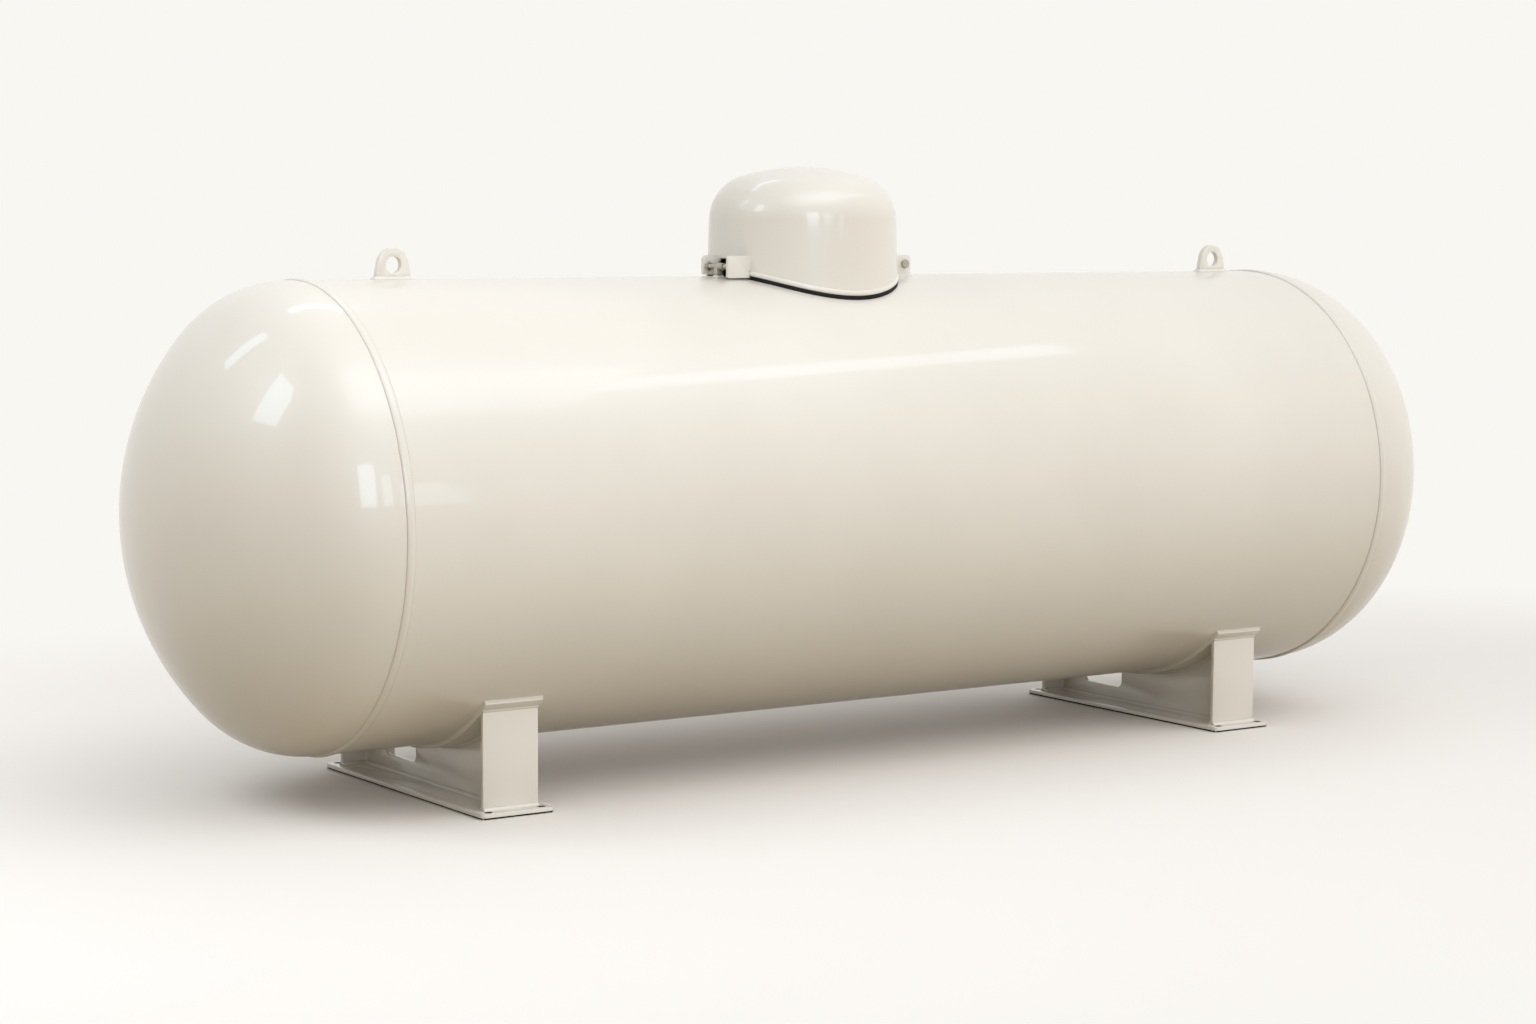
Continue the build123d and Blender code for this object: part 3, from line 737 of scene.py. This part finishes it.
def fillet_weld(name, corners, leg_a, leg_b, closed=False):
    """A painted bead along a line of corners, each a point and the directions of the two plates there."""
    spine = []
    for index, start in enumerate(corners[:-1]):
        end = corners[index + 1]
        count = max(1, round((end[0] - start[0]).length / (FILLET_PITCH / FILLET_STEPS_PER_RIPPLE)))
        for step in range(count):
            share = step / count
            spine.append([start[k].lerp(end[k], share) for k in range(3)])
    if not closed:
        spine.append(list(corners[-1]))
    points = []
    travelled = 0.0
    previous = spine[0][0]
    for place, side_a, side_b in spine:
        travelled += (place - previous).length
        previous = place
        wobble = noise.noise(place * FILLET_WOBBLE_SCALE) * FILLET_WOBBLE
        swell = 1 + wobble + FILLET_RIPPLE / leg_a * math.sin(2 * math.pi * travelled / FILLET_PITCH)
        a = side_a * leg_a * swell
        b = side_b * leg_b * swell
        sink = (side_a + side_b) * -FILLET_SINK
        points += [
            place + sink,
            place + a + sink,
            place + a * FILLET_FAR + b * FILLET_NEAR,
            place + a * FILLET_NEAR + b * FILLET_FAR,
            place + b + sink,
        ]
    rows = len(spine)
    faces = grid_faces(rows, 5, closed, True)
    if not closed:
        faces.append(tuple(range(5)))
        faces.append(tuple((rows - 1) * 5 + k for k in range(5)))
    dress(new_object(name, mesh_from(name, points, faces)), "cream_paint", "tank")


def ray(place, side_a, side_b):
    """One corner of a weld's line: a point and the two plates' directions."""
    return [Vector(place), Vector(side_a), Vector(side_b)]


def on_tank(radius, angle, x):
    """A point at one angle from the tank's bottom line, towards +Y, and its outward and upward directions."""
    outward = Vector((0, math.sin(angle), -math.cos(angle)))
    along = Vector((0, math.cos(angle), math.sin(angle)))
    return Vector((x, 0, AXIS_Z)) + radius * outward, outward, along


def wear_plate_weld(side_name, middle):
    """The bead that closes the whole edge of a wear plate to the shell."""
    last = math.asin(END_PLATE_FACE_Y / WEAR_RADIUS) + WEAR_LIP / WEAR_RADIUS
    arc_steps = 60
    turn_steps = 5
    line = []
    for face, begin in ((1, -1), (-1, 1)):
        for step in range(arc_steps + 1):
            angle = begin * last * (1 - 2 * step / arc_steps)
            place, outward, along = on_tank(TANK_RADIUS, angle, middle + face * WEAR_HALF_WIDTH)
            line.append([place, Vector((face, 0, 0)), outward])
        for step in range(1, turn_steps + 1):
            share = 0.5 * math.pi * step / turn_steps
            away = Vector((face * math.cos(share), 0, 0)) - begin * along * math.sin(share)
            line.append([place, away, outward])
        for step in range(1, turn_steps + 1):
            share = 0.5 * math.pi * (1 - step / turn_steps)
            corner = place - Vector((2 * face * WEAR_HALF_WIDTH, 0, 0))
            away = Vector((-face * math.cos(share), 0, 0)) - begin * along * math.sin(share)
            line.append([corner, away, outward])
    line.append(line[0])
    fillet_weld(f"wear_weld_{side_name}", line, WEAR_WELD_LEG, WEAR_WELD_LEG, True)


def web_top_welds(side_name, middle):
    """The beads between the web's hollow top and the wear plate, on both sides of the notch."""
    inner_y = END_PLATE_FACE_Y - END_PLATE_THICKNESS
    for face_name, face in (("west", -1), ("east", 1)):
        for part_name, low, high in (("long", -inner_y, NOTCH_LOW_Y), ("short", NOTCH_HIGH_Y, inner_y)):
            count = max(4, round((high - low) / 0.012))
            line = []
            for step in range(count + 1):
                angle = math.asin((low + (high - low) * step / count) / WEAR_RADIUS)
                place, outward, along = on_tank(WEAR_RADIUS, angle, middle + face * WEB_THICKNESS / 2)
                line.append([place, Vector((face, 0, 0)), outward])
            fillet_weld(f"top_weld_{side_name}_{face_name}_{part_name}", line, TOP_WELD_LEG, TOP_WELD_LEG)


def end_plate_cap_welds(side_name, middle):
    """The beads between the top of each end plate and the wear plate, outside and inside."""
    half_plate = END_PLATE_WIDTH / 2
    for end_name, end in (("front", -1), ("back", 1)):
        inner_y = END_PLATE_FACE_Y - END_PLATE_THICKNESS
        for face_name, y, outward_sign in (("outer", END_PLATE_FACE_Y, 1), ("inner", inner_y, -1)):
            angle = end * math.asin(y / WEAR_RADIUS)
            low, outward, along = on_tank(WEAR_RADIUS, angle, middle - half_plate)
            high = low + Vector((2 * half_plate, 0, 0))
            up_plate = end * outward_sign * along
            down = Vector((0, 0, -1))
            line = [[low, down, up_plate], [high, down, up_plate]]
            fillet_weld(f"cap_weld_{side_name}_{end_name}_{face_name}", line, CAP_WELD_LEG, CAP_WELD_LEG)


def saddle_welds(side_name, side):
    """The beads at the feet of the web and end plates, and up the web's ends."""
    middle = side * SADDLE_X
    half_web = WEB_THICKNESS / 2
    inner_y = END_PLATE_FACE_Y - END_PLATE_THICKNESS
    half_plate = END_PLATE_WIDTH / 2
    for face_name, face in (("west", -1), ("east", 1)):
        x = middle + face * half_web
        line = [ray((x, -inner_y, PLATE_TOP), (face, 0, 0), (0, 0, 1)),
                ray((x, inner_y, PLATE_TOP), (face, 0, 0), (0, 0, 1))]
        fillet_weld(f"web_weld_{side_name}_{face_name}", line, FILLET_LEG, FILLET_LEG)
    for end_name, end in (("front", -1), ("back", 1)):
        for face_name, y, outward in (("outer", END_PLATE_FACE_Y, 1), ("inner", inner_y, -1)):
            line = [ray((middle - half_plate, end * y, PLATE_TOP), (0, end * outward, 0), (0, 0, 1)),
                    ray((middle + half_plate, end * y, PLATE_TOP), (0, end * outward, 0), (0, 0, 1))]
            fillet_weld(f"foot_weld_{side_name}_{end_name}_{face_name}", line, FILLET_LEG, FILLET_LEG)
        top = AXIS_Z - math.sqrt(WEAR_RADIUS**2 - inner_y**2)
        for face_name, face in (("west", -1), ("east", 1)):
            x = middle + face * half_web
            line = [ray((x, end * inner_y, PLATE_TOP), (face, 0, 0), (0, -end, 0)),
                    ray((x, end * inner_y, top - RISE_WELD_STOP), (face, 0, 0), (0, -end, 0))]
            fillet_weld(f"rise_weld_{side_name}_{end_name}_{face_name}", line, RISE_WELD_LEG, RISE_WELD_LEG)


def shell_level(y):
    """The height of the shell's outside above one value of Y."""
    return AXIS_Z + math.sqrt(TANK_RADIUS**2 - y**2)


def foot_loop(x, y, half_x, half_y):
    """A closed line round the foot of an upright plate that stands on the shell's top."""
    corners = [(-1, -1), (1, -1), (1, 1), (-1, 1)]
    line = []
    turn_steps = 4
    for index, (sign_x, sign_y) in enumerate(corners):
        start = math.atan2(sign_y, sign_x) - 0.25 * math.pi
        place_x = x + sign_x * half_x
        place_y = y + sign_y * half_y
        place = Vector((place_x, place_y, shell_level(place_y)))
        for step in range(turn_steps + 1):
            angle = start + 0.5 * math.pi * step / turn_steps
            line.append([place, Vector((math.cos(angle), math.sin(angle), 0)), Vector((0, 0, 1))])
    line.append(line[0])
    return line


def plate_foot_weld(node, leg_out, leg_up, length=None):
    """The bead round a foot on the shell's top. A length is for a foot that is shorter than its node."""
    low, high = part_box(node)
    low_y = low[1] if length is None else high[1] - length
    x = (low[0] + high[0]) / 2
    y = (low_y + high[1]) / 2
    half_x = (high[0] - low[0]) / 2
    half_y = (high[1] - low_y) / 2
    fillet_weld(f"{node}_foot_weld", foot_loop(x, y, half_x, half_y), leg_out, leg_up, True)


for side_name, side in (("left", -1), ("right", 1)):
    saddle_welds(side_name, side)
    wear_plate_weld(side_name, side * SADDLE_X)
    web_top_welds(side_name, side * SADDLE_X)
    end_plate_cap_welds(side_name, side * SADDLE_X)
    plate_foot_weld(f"lifting_lug_{side_name}", LUG_WELD_OUT, LUG_WELD_UP)
plate_foot_weld("latch_ear", LATCH_WELD_LEG, LATCH_WELD_LEG)
plate_foot_weld("hood_hinge_knuckle", BARREL_WELD_LEG, BARREL_WELD_LEG, BARREL_FOOT_LENGTH)


# Floor, light and camera

def mix_shader(nodes, links, share, first, second):
    """A mix of two shaders by a linked share."""
    mix = nodes.new("ShaderNodeMixShader")
    links.new(share, mix.inputs["Fac"])
    links.new(first, mix.inputs[1])
    links.new(second, mix.inputs[2])
    return mix.outputs["Shader"]


def seen_rays(nodes, links):
    """One for rays from the camera, off a glossy surface or through glass, and otherwise zero."""
    path = nodes.new("ShaderNodeLightPath")
    either = nodes.new("ShaderNodeMath")
    either.operation = "MAXIMUM"
    links.new(path.outputs["Is Camera Ray"], either.inputs[0])
    links.new(path.outputs["Is Glossy Ray"], either.inputs[1])
    all_three = nodes.new("ShaderNodeMath")
    all_three.operation = "MAXIMUM"
    links.new(either.outputs["Value"], all_three.inputs[0])
    links.new(path.outputs["Is Transmission Ray"], all_three.inputs[1])
    return all_three.outputs["Value"]


def floor_material():
    """A pale sheet that keeps the shadow near the tank and fades to the backdrop's tone farther out."""
    material, nodes, links, shader = node_material("studio_floor")
    output = nodes["Material Output"]
    shader.inputs["Roughness"].default_value = 0.9
    shader.inputs["Specular IOR Level"].default_value = 0.1
    seen = seen_rays(nodes, links)
    tone = nodes.new("ShaderNodeMix")
    tone.data_type = "RGBA"
    links.new(seen, tone.inputs["Factor"])
    tone.inputs["A"].default_value = (*FLOOR_BOUNCE, 1)
    tone.inputs["B"].default_value = (*FLOOR_TONE, 1)
    links.new(tone.outputs["Result"], shader.inputs["Base Color"])
    place = nodes.new("ShaderNodeTexCoord")
    squeeze = nodes.new("ShaderNodeVectorMath")
    squeeze.operation = "MULTIPLY"
    squeeze.inputs[1].default_value = (1 / FADE_REACH_X, 1 / FADE_REACH_Y, 0)
    links.new(place.outputs["Object"], squeeze.inputs[0])
    distance = nodes.new("ShaderNodeVectorMath")
    distance.operation = "LENGTH"
    links.new(squeeze.outputs["Vector"], distance.inputs[0])
    fade = nodes.new("ShaderNodeMapRange")
    fade.interpolation_type = "SMOOTHSTEP"
    fade.inputs["From Min"].default_value = FADE_START
    fade.inputs["From Max"].default_value = 1.0
    links.new(distance.outputs["Value"], fade.inputs["Value"])
    share = nodes.new("ShaderNodeMath")
    share.operation = "MULTIPLY"
    links.new(fade.outputs["Result"], share.inputs[0])
    links.new(seen, share.inputs[1])
    plain = nodes.new("ShaderNodeEmission")
    plain.inputs["Color"].default_value = (*BACKDROP_TONE, 1)
    mixed = mix_shader(nodes, links, share.outputs["Value"],
                       shader.outputs["BSDF"], plain.outputs["Emission"])
    links.new(mixed, output.inputs["Surface"])
    return material


def make_floor():
    """A large flat sheet that the saddles stand on."""
    reach = FLOOR_REACH
    corners = [(-reach, -reach, 0), (reach, -reach, 0), (reach, reach, 0), (-reach, reach, 0)]
    mesh = mesh_from("studio_floor", corners, [(0, 1, 2, 3)], False)
    floor = new_object("studio_floor", mesh)
    mesh.materials.append(floor_material())


def area_light(name, place, target, width, height, power, colour, turn=0.0):
    """A rectangular soft light aimed at a point, its width level unless it is turned."""
    lamp = bpy.data.lights.new(name, "AREA")
    lamp.shape = "RECTANGLE"
    lamp.size = width
    lamp.size_y = height
    lamp.energy = power
    lamp.color = colour
    piece = bpy.data.objects.new(name, lamp)
    bpy.context.scene.collection.objects.link(piece)
    aim = (Vector(target) - Vector(place)).to_track_quat("-Z", "Y").to_matrix()
    piece.matrix_world = Matrix.Translation(place) @ aim.to_4x4() @ Matrix.Rotation(turn, 4, "Z")
    return piece


def gleam(name, place, target, width, height, power, turn=0.0):
    """A light that shows only as a reflection and lights nothing else."""
    piece = area_light(name, place, target, width, height, power, GLEAM_COLOUR, turn)
    piece.visible_diffuse = False


def side_light(nodes, links, direction, sign, strengths):
    """Light that grows towards three sides of the room, in proportion to the direction's cosine."""
    turned = nodes.new("ShaderNodeVectorMath")
    turned.operation = "SCALE"
    turned.inputs["Scale"].default_value = sign
    links.new(direction, turned.inputs[0])
    facing = nodes.new("ShaderNodeVectorMath")
    facing.operation = "MAXIMUM"
    links.new(turned.outputs["Vector"], facing.inputs[0])
    weighed = nodes.new("ShaderNodeVectorMath")
    weighed.operation = "DOT_PRODUCT"
    weighed.inputs[1].default_value = strengths
    links.new(facing.outputs["Vector"], weighed.inputs[0])
    return weighed.outputs["Value"]


def make_world():
    """Uneven light, most from the front and right. The camera and reflections see a plain backdrop."""
    world = bpy.data.worlds.new("studio")
    bpy.context.scene.world = world
    world.use_nodes = True
    nodes = world.node_tree.nodes
    links = world.node_tree.links
    light = nodes["Background"]
    light.inputs["Color"].default_value = (*WORLD_COLOUR, 1)
    place = nodes.new("ShaderNodeTexCoord")
    total = nodes.new("ShaderNodeMath")
    total.operation = "ADD"
    ahead = side_light(nodes, links, place.outputs["Generated"], 1, WORLD_RIGHT_BACK_UP)
    behind = side_light(nodes, links, place.outputs["Generated"], -1, WORLD_LEFT_FRONT_DOWN)
    links.new(ahead, total.inputs[0])
    links.new(behind, total.inputs[1])
    links.new(total.outputs["Value"], light.inputs["Strength"])
    shown = nodes.new("ShaderNodeBackground")
    shown.inputs["Color"].default_value = (*BACKDROP_TONE, 1)
    seen = seen_rays(nodes, links)
    mixed = mix_shader(nodes, links, seen, light.outputs["Background"], shown.outputs["Background"])
    links.new(mixed, nodes["World Output"].inputs["Surface"])


def make_camera():
    """The camera at the photograph's place, with its yaw, pitch and roll."""
    data = bpy.data.cameras.new("photo_camera")
    data.sensor_width = SENSOR_WIDTH
    data.lens = FOCAL_PIXELS / PHOTO_WIDTH * SENSOR_WIDTH
    data.clip_end = 200
    camera = bpy.data.objects.new("photo_camera", data)
    bpy.context.scene.collection.objects.link(camera)
    forward = Vector((
        math.sin(CAMERA_YAW) * math.cos(CAMERA_PITCH),
        math.cos(CAMERA_YAW) * math.cos(CAMERA_PITCH),
        -math.sin(CAMERA_PITCH),
    ))
    level = Vector((math.cos(CAMERA_YAW), -math.sin(CAMERA_YAW), 0))
    upward = level.cross(forward)
    right = level * math.cos(CAMERA_ROLL) + upward * math.sin(CAMERA_ROLL)
    up = upward * math.cos(CAMERA_ROLL) - level * math.sin(CAMERA_ROLL)
    turn = Matrix((right, up, -forward)).transposed()
    camera.matrix_world = Matrix.Translation(CAMERA_PLACE) @ turn.to_4x4()
    bpy.context.scene.camera = camera


make_floor()
make_world()
area_light("key", (-0.45, -1.55, 3.2), (-0.45, -1.55, 0), 2.5, 1.3, 10, LAMP_COLOUR)
gleam("key_gleam", (-0.45, -1.55, 3.2), (-0.45, -1.55, 0), 2.5, 1.3, 66)
gleam("strip", (1.55, -1.08, 3.2), (1.55, -1.08, 0), 1.75, 0.35, 4, math.radians(24.3))
area_light("left_fill", (-3.9, 0.4, 3.6), (-1.3, 0, 0.6), 2.4, 2.0, 66, LAMP_COLOUR).visible_glossy = False
gleam("left_gleam", (-4.3, 0.15, 3.2), (-1.4, 0, 0.9), 0.8, 1.2, 14)
gleam("far_left_box", (-3.1, 1.8, 3.3), (-1.4, 0, 0.9), 0.3, 1.1, 3.6)
gleam("top_box", (-0.5, 1.6, 3.8), (-0.4, 0, 1.2), 1.8, 0.25, 4.5)
gleam("front_box_left", (-1.98, -4.6, 2.15), (-1.35, -0.4, 0.7), 1.3, 1.6, 34)
gleam("front_box_middle", (-0.42, -4.6, 1.9), (-1.3, -0.4, 0.7), 0.8, 1.1, 9)
gleam("front_box_right", (0.95, -4.6, 1.7), (-1.0, -0.4, 0.7), 0.4, 0.8, 2.2)
make_camera()
bpy.context.scene.view_settings.view_transform = "Standard"
